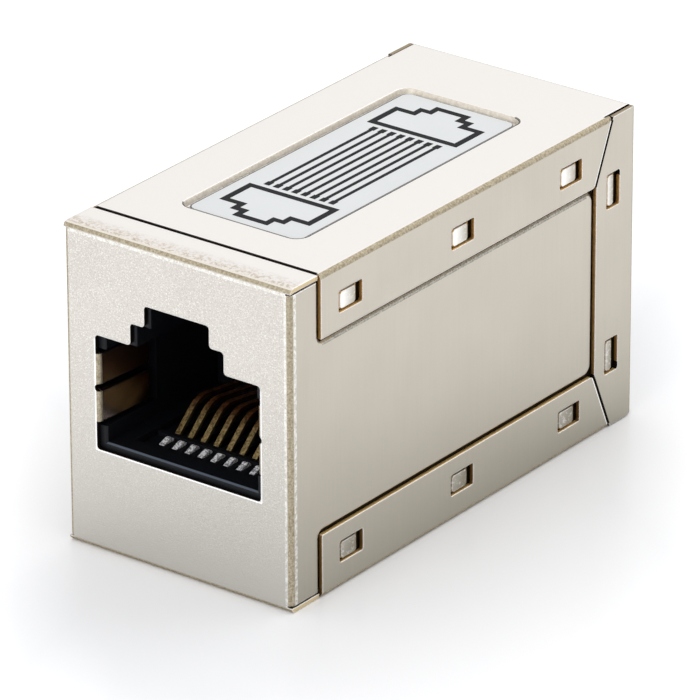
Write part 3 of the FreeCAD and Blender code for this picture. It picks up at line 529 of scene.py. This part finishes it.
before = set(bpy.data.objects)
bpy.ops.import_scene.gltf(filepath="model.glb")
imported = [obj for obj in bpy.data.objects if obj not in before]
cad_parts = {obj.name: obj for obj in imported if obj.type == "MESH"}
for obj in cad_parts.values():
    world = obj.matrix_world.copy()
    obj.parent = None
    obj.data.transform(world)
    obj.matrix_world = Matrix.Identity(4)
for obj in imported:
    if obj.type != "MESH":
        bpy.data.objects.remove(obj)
cad_low, cad_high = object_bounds()


def dress(name, material):
    """Gives every slot of a CAD node its material."""
    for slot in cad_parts[name].material_slots:
        slot.material = material


plastic = black_pbt()
bronze = plated_bronze()
front_nickel = satin_nickel_plate(
    "front_case_nickel",
    ["short flange side ends", "short flange rear edges", "port edges"],
    ["side bosses", "rear bosses"],
    ["panel under the flanges", "groove beside the flanges"])
rear_nickel = satin_nickel_plate(
    "rear_case_nickel",
    ["side flange edges", "front edges", "rear flange top edges", "port edges"],
    [],
    ["inside of the flanges", "front edges of the panels", "slanted edges"])
dress("front_shell", front_nickel)
dress("rear_shell", rear_nickel)
dress("label", label_film())
dress("circuit_board", green_laminate())
for end in ("front", "rear"):
    dress(end + "_jack_housing", plastic)
    dress(end + "_contact_holder", plastic)
    for number in range(1, 9):
        dress("%s_contact_%d" % (end, number), bronze)


def ink_mesh(name, outlines, ink, thickness):
    """Thin printed layer on the label from closed outlines of (along, across) pairs in mm."""
    label_low, label_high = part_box("label")
    bottom = label_high.z
    top = bottom + thickness * MM
    middle_y = (label_low.y + label_high.y) / 2
    layer = bmesh.new()
    for outline in outlines:
        lower = [layer.verts.new((-across * MM, middle_y + along * MM, bottom))
                 for along, across in outline]
        upper = [layer.verts.new((v.co.x, v.co.y, top)) for v in lower]
        layer.faces.new(upper)
        layer.faces.new(lower[::-1])
        for k in range(len(outline)):
            j = (k + 1) % len(outline)
            layer.faces.new((lower[k], lower[j], upper[j], upper[k]))
    bmesh.ops.recalc_face_normals(layer, faces=layer.faces)
    mesh = bpy.data.meshes.new(name)
    layer.to_mesh(mesh)
    layer.free()
    mesh.materials.append(ink)
    piece = bpy.data.objects.new(name, mesh)
    bpy.context.scene.collection.objects.link(piece)
    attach(piece, "root")


def bar(start, end, across, width):
    """Straight printed line along the label."""
    half = width / 2
    return [(start, across - half), (end, across - half), (end, across + half), (start, across + half)]


def frame_line(corners, width):
    """Closed printed line with square, mitred corners, one outline for each side."""
    half = width / 2
    inner, outer = [], []
    for k, (a, b) in enumerate(corners):
        (a0, b0), (a1, b1) = corners[k - 1], corners[(k + 1) % len(corners)]
        shift_a = half * ((b - b0) > 0 or (b1 - b) > 0) - half * ((b - b0) < 0 or (b1 - b) < 0)
        shift_b = half * ((a - a0) < 0 or (a1 - a) < 0) - half * ((a - a0) > 0 or (a1 - a) > 0)
        outer.append((a + shift_a, b + shift_b))
        inner.append((a - shift_a, b - shift_b))
    sides = []
    for k in range(len(corners)):
        j = (k + 1) % len(corners)
        sides.append([outer[k], outer[j], inner[j], inner[k]])
    return sides


def wiring_symbol():
    """Straight-through wiring: a jack symbol at each end and eight lines between them."""
    outlines = []
    wires, pitch, reach, wire_width = 8, 0.72, 5.2, 0.27
    pad_length, pad_width, jack_width = 0.55, 0.44, 0.46
    for k in range(wires):
        across = (k - (wires - 1) / 2) * pitch
        outlines += [bar(-reach, reach, across, wire_width),
                     bar(reach, reach + pad_length, across, pad_width),
                     bar(-reach - pad_length, -reach, across, pad_width)]
    jack = [(6.35, -3.3), (9.0, -3.3), (9.0, -1.9), (9.75, -1.9), (9.75, -1.15), (10.5, -1.15),
            (10.5, 1.15), (9.75, 1.15), (9.75, 1.9), (9.0, 1.9), (9.0, 3.3), (6.35, 3.3)]
    for end in (-1, 1):
        outlines += frame_line([(end * a, end * b) for a, b in jack], jack_width)
    ink_mesh("label_wiring_symbol", outlines, printing_ink(), 0.012)


wiring_symbol()

# ---------------------------------------------------------------- floor, light and camera, in metres


def studio_floor():
    """Floor that runs well past the view, a hair below the part."""
    reach, below = 1.2, 0.00002
    corners = [(-reach, -reach, 0), (reach, -reach, 0), (reach, reach, 0), (-reach, reach, 0)]
    mesh = bpy.data.meshes.new("studio_floor")
    mesh.from_pydata(corners, [], [(0, 1, 2, 3)])
    mesh.materials.append(gloss_acrylic_floor())
    floor = bpy.data.objects.new("studio_floor", mesh)
    floor.location.z = cad_low.z - below
    bpy.context.scene.collection.objects.link(floor)


def soft_box(name, place, aim, size, power):
    """Rectangular softbox aimed at a point, with its power in watts."""
    lamp = bpy.data.lights.new(name, "AREA")
    lamp.shape = "RECTANGLE"
    lamp.size, lamp.size_y = size
    lamp.energy = power
    light = bpy.data.objects.new(name, lamp)
    light.location = place
    light.rotation_mode = "QUATERNION"
    light.rotation_quaternion = (Vector(aim) - Vector(place)).to_track_quat("-Z", "Y")
    bpy.context.scene.collection.objects.link(light)


def studio_world():
    """White surround for what the eye and the metal see, and a softer level for the rest."""
    world = bpy.data.worlds.new("studio_world")
    world.use_nodes = True
    tree = world.node_tree
    tree.nodes.clear()
    path = add(tree, "ShaderNodeLightPath").outputs
    seen = where_any(tree, [path["Is Camera Ray"], path["Is Glossy Ray"], path["Is Transmission Ray"]])
    ambient = add(tree, "ShaderNodeBackground", {"Color": linear("#FFFFFF"), "Strength": 0.85})
    white = add(tree, "ShaderNodeBackground", {"Color": linear("#FFFFFF"), "Strength": 1.0})
    mix = add(tree, "ShaderNodeMixShader", {0: seen, 1: ambient, 2: white})
    add(tree, "ShaderNodeOutputWorld", {"Surface": mix})
    bpy.context.scene.world = world


def studio_camera():
    """Long lens a little above the part, looking at its front port and right side."""
    azimuth, elevation, roll = (math.radians(angle) for angle in (36.98, 24.70, 0.18))
    distance, right_shift, up_shift = (length * MM for length in (449.4, 10.614, 14.122))
    right = Vector((math.cos(azimuth), math.sin(azimuth), 0))
    back = Vector((math.sin(azimuth) * math.cos(elevation), -math.cos(azimuth) * math.cos(elevation),
                   math.sin(elevation)))
    up = back.cross(right)
    right, up = (right * math.cos(roll) - up * math.sin(roll),
                 right * math.sin(roll) + up * math.cos(roll))
    front_edge = Vector((0, cad_low.y, cad_low.z))
    data = bpy.data.cameras.new("studio_camera")
    data.sensor_width = 36
    data.lens = 370.4
    data.clip_start, data.clip_end = 0.01, 20
    camera = bpy.data.objects.new("studio_camera", data)
    place = front_edge + right * right_shift + up * up_shift + back * distance
    axes = Matrix((right, up, back)).transposed().to_4x4()
    camera.matrix_world = Matrix.Translation(place) @ axes
    bpy.context.scene.collection.objects.link(camera)
    bpy.context.scene.camera = camera


studio_floor()
part_middle = (0, 0, 0.01)
soft_box("back_box", place=(0.12, 0.45, 0.60), aim=part_middle, size=(0.8, 0.5), power=1.0)
soft_box("front_box", place=(0.00, -0.70, 0.36), aim=part_middle, size=(0.5, 0.5), power=1.4)
studio_world()
studio_camera()

scene = bpy.context.scene
scene.view_settings.view_transform = "Standard"
